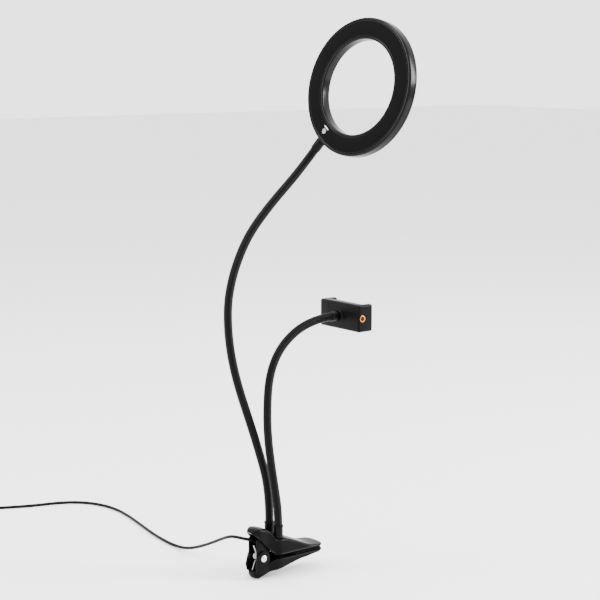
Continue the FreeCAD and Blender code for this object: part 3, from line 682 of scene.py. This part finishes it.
def phone_holder():
    back, front = HOLDER_X
    near, far = HOLDER_Y
    low, high = HOLDER_Z

    outline = [(back, near), (HOLDER_REACH, near), (HOLDER_REACH, near + JAW_THICK),
               (front, near + JAW_THICK), (front, SPLIT_Y), (back, SPLIT_Y)]
    body = extruded("holder_body_moulded", outline, low, high)
    round_edges(body, 2.7, 6, lambda p: p.y < SPLIT_Y - 0.1)
    inside = [(back + 2.2, near + 12), (front - 2.2, near + 12), (front - 2.2, SPLIT_Y + 5),
              (back + 2.2, SPLIT_Y + 5)]
    cavity = extruded("cavity", inside, low + 2.4, high - 2.4)
    hole = cylinder("hole", 4.2, (INSERT_X, near - 3, HOLDER_MID_Z), (INSERT_X, near + 8, HOLDER_MID_Z))
    dress(carve(body, cavity, hole), MATERIALS["holder"], "phone_holder", "holder_body")

    outline = [(back, SPLIT_Y + 0.4), (front, SPLIT_Y + 0.4), (front, far - JAW_THICK),
               (HOLDER_REACH, far - JAW_THICK), (HOLDER_REACH, far), (back, far)]
    jaw = extruded("sliding_jaw_moulded", outline, low, high)
    round_edges(jaw, 2.7, 6, lambda p: p.y > SPLIT_Y + 0.5)
    dress(jaw, MATERIALS["holder"], "holder_jaw", "sliding_jaw")
    dress(block("sliding_jaw_tongue", back + 3, front - 3, -12, SPLIT_Y + 1.5, low + 3.4, high - 3.4, 0.8),
          MATERIALS["holder"], "holder_jaw")

    spot = place_along((INSERT_X * MM, near * MM, HOLDER_MID_Z * MM), (0, 1, 0))
    rim = [(0.2, 4.2), (0.0, 4.0), (-0.05, 3.8), (-0.05, 3.2), (0.35, 2.8), (1.0, 2.75), (1.0, 4.2)]
    dress(lathe("tripod_insert_rim", scaled(rim), spot, 48, closed=True), MATERIALS["brass"],
          "phone_holder", "tripod_insert")
    # The thread takes the darker copy of the brass: painted shade for the dark inside of the hole
    thread = [(0.9, 3.9), (0.9, 2.9)]
    for k in range(5):
        thread += [(1.3 + 1.27 * k, 2.55), (1.9 + 1.27 * k, 3.1)]
    thread += [(7.9, 2.55), (7.9, 3.9)]
    dress(lathe("tripod_insert_thread", scaled(thread), spot, 48, closed=True), MATERIALS["brass_painted_shade"],
          "phone_holder")

    sleeve = [(-14.0, 5.1), (-14.0, 5.7), (-13.5, 6.0), (-4.2, 6.05), (-2.0, 6.2), (-0.9, 6.6),
              (-0.1, 7.3), (0.3, 7.3), (1.8, 6.0)]
    socket = lathe("holder_socket_turned", scaled(sleeve),
                   place_along((back * MM, -8.0 * MM, HOLDER_MID_Z * MM), (1, 0, 0)), 48)
    dress(socket, MATERIALS["ferrule"], "phone_holder", "holder_socket")
    for node, body_name in (("fixed_jaw_pad", "phone_holder"), ("sliding_jaw_pad", "holder_jaw"),
                            ("back_pad", "phone_holder")):
        dress(softened(node, node + "_rubber", 0.25 * MM, 2), MATERIALS["rubber"], body_name, node)


# ---------------------------------------------------------------- clamp
PIVOT_X = -54.0
HALF_WIDTH = 18.0              # across the jaws
WAIST_HALF = 11.5              # across the pivot and the handles
JAW_TIP_X = 35.5
UPPER_TOP = [(36, 4.0), (35.5, 4.0), (22, 5.2), (15, 6.4), (-10, 17.4), (-20, 21.2), (-24, PLATFORM_Z),
             (-37.8, PLATFORM_Z), (-41.2, 29.6), (-45.2, 34.0), (-52.5, 37.1), (-60.5, 38.4), (-66.4, 37.0),
             (-68.0, 33.4)]
UPPER_RIM = [(36, 2.4), (-38, 2.4), (-40, 3.4), (-68, 33.0)]
LOWER_TOP = [(36, 4.0), (35.5, 4.0), (31, 5.4), (11, 9.2), (-2, 10.2), (-43, 19.4), (-55.5, 24.0),
             (-61, 25.9), (-64.6, 24.6), (-66, 21.0)]
LOWER_RIM = [(36, 2.4), (-38, 2.4), (-40, 3.4), (-66, 17.0)]
HALF_WIDTHS = [(40, HALF_WIDTH), (-35, HALF_WIDTH), (-45, WAIST_HALF), (-70, WAIST_HALF)]


def outline_height(outline, radius):
    """Height above the jaws' plane, or half-width, along X, with the outline's corners rounded."""
    smooth = np.array(rounded(outline, radius, 6))[::-1]
    return lambda x: float(np.interp(x, smooth[:, 0], smooth[:, 1]))


def section(width, top, rim, hollow_top):
    """Closed (y, height) section of a shell: beaded rims, rounded shoulders and a slightly crowned top."""
    bead = 0.55
    tall = max(top - rim, 0.3)
    edge = min(3.4, 0.6 * tall, 0.6 * width)
    lip = min(1.5, 0.4 * tall)
    half = [(width - 0.3, rim), (width + 0.5 * bead, rim + 0.1 * lip), (width + bead, rim + 0.5 * lip),
            (width + 0.5 * bead, rim + 0.9 * lip), (width, rim + 1.15 * lip)]
    crown = min(0.7, 0.1 * tall)
    shoulder = quarter((width - edge, top - crown - edge), edge, 0, 90, 6)
    half += [(y, max(z, rim + 1.2 * lip)) for y, z in shoulder]
    half += [(0.6 * (width - edge), top - 0.25 * crown), (0.25 * (width - edge), top)]
    outer = half + [(-y, z) for y, z in half[::-1]]
    wall = min(2.2, 0.45 * width)
    ceiling = max(hollow_top, rim + 0.02)
    bend = min(2.0, 0.5 * (ceiling - rim))
    inner_half = [(width - wall, rim)] + quarter((width - wall - bend, ceiling - bend), bend, 0, 90, 4)
    inner = inner_half + [(-y, z) for y, z in inner_half[::-1]]
    return outer + [(-y, z) for y, z in inner]


def moulded_shell(name, top_line, rim_line, tail_x, sign):
    """One half of the clamp as a smooth moulding, thickened round its edge."""
    top_at, rim_at = outline_height(top_line, 5.0), outline_height(rim_line, 3.0)
    width_at = outline_height(HALF_WIDTHS, 5.0)
    tip_round, tail_round = 10.0, 9.5
    arc = np.sin(np.radians(np.linspace(0, 90, 12)))
    stations = list(JAW_TIP_X - tip_round + tip_round * arc) + list(np.arange(-58, 25, 0.7))
    stations += list(tail_x + tail_round - tail_round * arc) + [-6.01, -5.99]
    stations = sorted(set(round(float(x), 4) for x in stations))
    rows = []
    for x in stations:
        ahead, behind = x - (JAW_TIP_X - tip_round), (tail_x + tail_round) - x
        width = width_at(x)
        if ahead > 0:
            width += math.sqrt(max(tip_round ** 2 - ahead ** 2, 0)) - tip_round
        if behind > 0:
            width += math.sqrt(max(tail_round ** 2 - behind ** 2, 0)) - tail_round
        top, rim = top_at(x), rim_at(x)
        hollow = top - 2.4 if tail_x + 2.4 < x < -6.0 else rim
        rows.append([(x * MM, y * MM, sign * z * MM) for y, z in section(width, top, rim, hollow)])
    grid = np.array(rows)
    count, around = grid.shape[:2]
    faces = []
    for i in range(count - 1):
        for j in range(around):
            k = (j + 1) % around
            faces.append((i * around + j, i * around + k, (i + 1) * around + k, (i + 1) * around + j))
    faces += [list(range(around)), list(range((count - 1) * around, count * around))[::-1]]
    obj = mesh_object(name, grid.reshape(-1, 3), faces, smooth_angle=40)
    tidy_mesh(obj, 1e-6)
    obj.data.shade_smooth()
    obj.data.set_sharp_from_angle(angle=math.radians(38))
    return obj


def ear(name, near, far, web, radius=9.0):
    """Flat pivot ear between two y values: a disc about the pivot joined to its web."""
    angles = np.linspace(0, 2 * math.pi, 40, endpoint=False)
    points = [(radius * math.cos(a), radius * math.sin(a)) for a in angles]
    points = sorted(set(points + list(web)))

    def hull_side(ordered):
        side = []
        for p in ordered:
            while len(side) > 1 and ((side[-1][0] - side[-2][0]) * (p[1] - side[-2][1])
                                     - (side[-1][1] - side[-2][1]) * (p[0] - side[-2][0])) <= 0:
                side.pop()
            side.append(p)
        return side[:-1]

    hull = hull_side(points) + hull_side(points[::-1])
    obj = extruded(name, [(PIVOT_X + u, w) for u, w in hull], near, far)
    obj.data.transform(Matrix(((1, 0, 0, 0), (0, 0, 1, 0), (0, 1, 0, 0), (0, 0, 0, 1))))
    tidy_mesh(obj)
    return round_edges(obj, 0.45, 3, least_angle=60)


UPPER_WEB = [(-8.5, 2.5), (8.5, 2.5), (11, 10), (4, 19), (-4, 25), (-9, 24)]
LOWER_WEB = [(-8.5, -2.5), (8.5, -2.5), (10, -9), (6, -17), (-10, -18), (-12, -10)]


def clamp():
    upper = moulded_shell("clamp_upper_moulded", UPPER_TOP, UPPER_RIM, -68.0, 1)
    dress(upper, MATERIALS["clamp"], "root", "clamp_upper_shell")
    lower = moulded_shell("clamp_lower_moulded", LOWER_TOP, LOWER_RIM, -66.0, -1)
    dress(lower, MATERIALS["clamp"], "clamp_lower", "clamp_lower_shell")
    for side, word in ((-1, "near"), (1, "far")):
        low, high = sorted((side * 6.8, side * 9.0))
        dress(ear(f"upper_ear_{word}", low, high, UPPER_WEB), MATERIALS["clamp"], "root")
        low, high = sorted((side * 9.25, side * 11.6))
        dress(ear(f"lower_ear_{word}", low, high, LOWER_WEB), MATERIALS["clamp"], "clamp_lower")
    for node, body_name in (("upper_jaw_pad", "root"), ("lower_jaw_pad", "clamp_lower")):
        dress(softened(node, node + "_rubber", 0.25 * MM, 2), MATERIALS["rubber"], body_name, node)

    half_rivet = [(0.1, 2.0), (11.65, 2.0), (11.7, 4.2), (11.95, 4.35), (12.4, 4.0), (12.95, 3.0),
                  (13.25, 1.6), (13.3, 0.4)]
    rivet = [(-a, r) for a, r in half_rivet[::-1]] + half_rivet
    pin = lathe("pivot_rivet", scaled(rivet), place_along((PIVOT_X * MM, 0, 0), (0, 1, 0)), 40)
    dress(pin, MATERIALS["steel"], "root", "pivot_pin")

    turns, coil, wire_radius = 5.25, 4.3, 0.9
    sweep = 2 * math.pi * turns
    helix = [(PIVOT_X + coil * math.cos(a), -5.0 + 10.0 * (a - math.pi) / sweep, coil * math.sin(a))
             for a in np.linspace(math.pi, math.pi + sweep, 200)]
    start = [(PIVOT_X - 11.2, helix[0][1], 17.5), (PIVOT_X - 4.6, helix[0][1], 1.5)]
    dress(wire("spring_coils", start + helix, wire_radius), MATERIALS["zinc"], "root", "torsion_spring")
    end = helix[-1]
    leg_y = end[1] + 0.4
    leg = [(end[0], leg_y, end[2]), (PIVOT_X - 1.0, leg_y, -6.0), (PIVOT_X - 6.5, leg_y, -19.5)]
    dress(wire("spring_leg", leg, wire_radius), MATERIALS["zinc"], "clamp_lower")

    cover = softened("wiring_cover", "wiring_cover_moulded", 0.5 * MM, 2)
    dress(cover, MATERIALS["clamp"], "root", "wiring_cover")
    root, tip = Vector((-42.6, 3.2, 12.8)), Vector((-49.6, 3.2, 16.4))
    reach = (tip - root).length
    ribs = [(-1.5, 2.5), (-0.1, 2.5), (0.0, 3.4), (1.5, 3.3), (1.7, 2.95)]
    for k in range(4):
        ribs += [(2.2 + 1.3 * k, 2.85 - 0.08 * k), (2.9 + 1.3 * k, 2.85 - 0.08 * k), (3.1 + 1.3 * k, 2.5),
                 (3.4 + 1.3 * k, 2.5)]
    ribs += [(reach + 0.1, 2.35), (reach + 0.3, 2.05)]
    dress(lathe("cord_grommet_ribbed", scaled(ribs), place_along(root * MM, tip - root), 32),
          MATERIALS["rubber"], "root", "cord_grommet")


# ---------------------------------------------------------------- remote and plug
BUTTON_SPOTS = (("power", 15.5), ("dimmer", 31.0), ("colour", 46.5))
BUTTON_RADIUS = 3.4
PLUG_GRIP = (26.0, 16.0, 8.0)
PLUG_MOUNT = next(mount for mount in frame["record"]["mounts"] if mount["name"] == "usb_plug")
PLUG_TURN = math.atan2(PLUG_MOUNT["axis"][1], PLUG_MOUNT["axis"][0])
PLUG_FACE = tuple(value / MM for value in PLUG_MOUNT["pos_m"][:2])  # plan position of the plug's open end


def in_place(obj, origin, turn):
    place = Matrix.Translation((origin[0] * MM, origin[1] * MM, 0))
    obj.data.transform(place @ Matrix.Rotation(turn, 4, "Z"))
    return obj


def flat_below(obj):
    """Press flat what would reach under the surface, as the underside of a boot is moulded."""
    for vertex in obj.data.vertices:
        spot = obj.matrix_world @ vertex.co
        spot.z = max(spot.z, SURFACE_Z)
        vertex.co = obj.matrix_world.inverted() @ spot
    return obj


def capsule_outline(x0, x1, half, radius, steps=6):
    """Rounded rectangle about the X axis."""
    corners = []
    for cx, cy, start in ((x1 - radius, half - radius, 0), (x0 + radius, half - radius, 90),
                          (x0 + radius, radius - half, 180), (x1 - radius, radius - half, 270)):
        corners += quarter((cx, cy), radius, start, start + 90, steps)
    return corners


def remote():
    turn = heading(CORD_ROUTE)
    origin = CORD_ROUTE[-1]
    seam, top = SURFACE_MM + 4.5, SURFACE_MM + REMOTE_HEIGHT
    outline = capsule_outline(0, REMOTE_LENGTH, REMOTE_WIDTH / 2, 6.0)
    lower = extruded("remote_lower_moulded", outline, SURFACE_MM, seam - 0.15)
    round_edges(lower, 1.2, 4, lambda p: p.z < SURFACE_MM + 0.1, 60)
    upper = extruded("remote_upper_moulded", outline, seam + 0.15, top)
    round_edges(upper, 2.2, 5, lambda p: p.z > top - 0.1, 60)
    wells = [cylinder("well", BUTTON_RADIUS + 0.25, (x, 0, seam + 2), (x, 0, top + 2))
             for _, x in BUTTON_SPOTS]
    carve(upper, *wells)
    lip_outline = capsule_outline(0.5, REMOTE_LENGTH - 0.5, REMOTE_WIDTH / 2 - 0.5, 5.5)
    lip = extruded("remote_seam_step", lip_outline, seam - 0.6, seam + 0.6)
    gaps = [cylinder("gap", BUTTON_RADIUS + 0.6, (x, 0, seam - 1), (x, 0, seam + 1))
            for _, x in BUTTON_SPOTS]
    carve(lip, *gaps)
    for piece, nodes in ((lower, ["remote_lower_shell"]), (upper, ["remote_upper_shell"]), (lip, [])):
        dress(in_place(piece, origin, turn), MATERIALS["remote"], "root", *nodes)
    for name, x in BUTTON_SPOTS:
        cap = [(seam + 0.8, 0.5), (seam + 0.8, 3.2), (top + 0.6, 3.35), (top + 0.95, 3.2),
               (top + 1.18, 2.8), (top + 1.2, 2.3), (top + 1.0, 1.4), (top + 0.95, 0.05)]
        button = lathe(f"{name}_button_cap", scaled(cap), place_along((x * MM, 0, 0), (0, 0, 1)), 36)
        dress(in_place(button, origin, turn), MATERIALS["button"], name + "_button",
              f"remote_{name}_button")
        sign = button_sign(name, x, top + 1.02)
        dress(in_place(sign, origin, turn), MATERIALS["print"], name + "_button")
    for x0, x1 in ((0.6, -5.5), (REMOTE_LENGTH - 0.6, REMOTE_LENGTH + 5.5)):
        boot = [(0, 3.4), (0.8, 3.4), (1.1, 3.0)]
        for k in range(3):
            boot += [(1.6 + 1.3 * k, 2.95 - 0.2 * k), (2.1 + 1.3 * k, 2.9 - 0.2 * k),
                     (2.2 + 1.3 * k, 2.5 - 0.1 * k), (2.6 + 1.3 * k, 2.45 - 0.1 * k)]
        boot += [(abs(x1 - x0) - 0.2, 2.15), (abs(x1 - x0), 1.9)]
        way = 1 if x1 > x0 else -1
        piece = lathe(f"remote_boot_{'out' if way > 0 else 'in'}", scaled(boot),
                      place_along((x0 * MM, 0, CORD_Z * MM), (way, 0, 0)), 28)
        dress(flat_below(in_place(piece, origin, turn)), MATERIALS["rubber"], "root")


def button_sign(name, x, height):
    """Raised sign on a button: a dial for power, a bar for the dimmer, a dot for the colour."""
    shapes = {"power": [(1.15, 1.5, 24)], "dimmer": [(0.0, 0.7, 4)], "colour": [(0.0, 0.9, 24)]}[name]
    work = bmesh.new()
    for inner, outer, count in shapes:
        stretch = 2.0 if name == "dimmer" else 1.0
        for k in range(count):
            a, b = 2 * math.pi * (k + 0.5) / count, 2 * math.pi * (k + 1.5) / count
            corners = [(inner, a), (outer, a), (outer, b)] + ([(inner, b)] if inner else [])
            work.faces.new([work.verts.new(((x + stretch * r * math.cos(t)) * MM, r * math.sin(t) * MM,
                                            height * MM)) for r, t in corners])
    mesh = bpy.data.meshes.new(name + "_sign")
    work.to_mesh(mesh)
    work.free()
    return link(bpy.data.objects.new(name + "_sign", mesh))


def usb_plug():
    length, width, height = PLUG_GRIP
    reach = 12.0
    middle = SURFACE_MM + height / 2
    half = width / 2
    grip = block("usb_plug_grip_moulded", 0, length, -half, half, SURFACE_MM, SURFACE_MM + height, 2.0, 5)
    slots = []
    for x in (5.0, 7.6, 10.2):
        for y in (-half - 0.7, half - 0.5):
            corners = [(x, y), (x + 1.0, y), (x + 1.0, y + 1.2), (x, y + 1.2)]
            slots.append(extruded("slot", corners, middle - 2.6, middle + 2.6))
    carve(grip, *slots)
    origin = (PLUG_FACE[0] - (length + reach) * math.cos(PLUG_TURN),
              PLUG_FACE[1] - (length + reach) * math.sin(PLUG_TURN))
    dress(in_place(grip, origin, PLUG_TURN), MATERIALS["remote"], "root", "usb_plug_grip")
    shell = softened("usb_plug_shell", "usb_plug_shell_folded", 0.12 * MM, 2)
    windows = []
    for y in (-3.9, 1.5):
        corners = [(length + 5.4, y), (length + 7.6, y), (length + 7.6, y + 2.4), (length + 5.4, y + 2.4)]
        windows.append(extruded("window", corners, middle + 1.2, middle + 3.0))
    carve(shell, *(in_place(w, origin, PLUG_TURN) for w in windows))
    dress(shell, MATERIALS["steel"], "root", "usb_plug_shell")
    boot = [(0.5, 3.3), (-0.6, 3.2), (-1.0, 2.9)]
    for k in range(3):
        boot += [(-1.5 - 1.3 * k, 2.9 - 0.2 * k), (-2.0 - 1.3 * k, 2.85 - 0.2 * k),
                 (-2.1 - 1.3 * k, 2.45 - 0.1 * k), (-2.6 - 1.3 * k, 2.4 - 0.1 * k)]
    boot += [(-5.6, 2.1), (-5.8, 1.9)]
    piece = lathe("usb_plug_boot", scaled(boot), place_along((0, 0, CORD_Z * MM), (1, 0, 0)), 28)
    dress(flat_below(in_place(piece, origin, PLUG_TURN)), MATERIALS["rubber"], "root")


# ---------------------------------------------------------------- CAD pieces that are seen as they are
CARRIED = {"ring_led_board": "board", "ring_leds": "phosphor", "ring_standoffs": "rim",
           "ring_collar_nut": "zinc", "long_ferrule_nut": "zinc", "short_ferrule_nut": "zinc",
           "cover_screws": "zinc", "remote_board": "board", "jaw_springs": "zinc",
           "guide_rods": "steel", "usb_plug_tongue": "board"}


def carry_over():
    for node, material in CARRIED.items():
        obj = frame["nodes"][node]
        obj.data.materials.clear()
        obj.data.materials.append(MATERIALS[material])


camera()
studio()
cord()
necks()
ring_head()
phone_holder()
clamp()
remote()
usb_plug()
carry_over()
